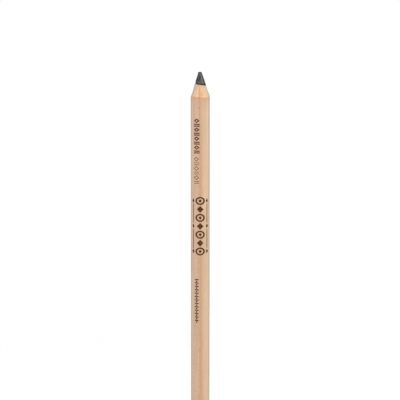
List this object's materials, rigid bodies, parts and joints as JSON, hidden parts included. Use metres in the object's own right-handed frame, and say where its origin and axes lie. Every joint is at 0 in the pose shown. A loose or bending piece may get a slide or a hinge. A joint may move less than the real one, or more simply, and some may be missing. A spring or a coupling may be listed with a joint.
{
  "type": "eyeliner pencil",
  "caption": "Round wooden eyeliner pencil made of two glued slats round a soft dark colour core, sharpened to a blunt cone at one end and sawn flat at the other.",
  "frame": {"origin": "centre of the sawn flat end, on the barrel's axis", "axes": "+Z along the barrel towards the sharpened point, -Y towards the front glue line, with the two slats on -X and +X"},
  "size_m": [0.0074, 0.0074, 0.15],
  "materials": {
    "left_slat_wood": "natural softwood, planed smooth and thinly lacquered",
    "right_slat_wood": "natural softwood, planed smooth and thinly lacquered",
    "core_wax": "soft black pigmented wax, with a dull shine where it is sharpened",
    "glue": "dark amber glue line"
  },
  "bodies": {
    "root": {"left_slat": "left_slat_wood", "right_slat": "right_slat_wood", "colour_core": "core_wax", "front_glue_line": "glue", "back_glue_line": "glue"}
  },
  "joints": []
}
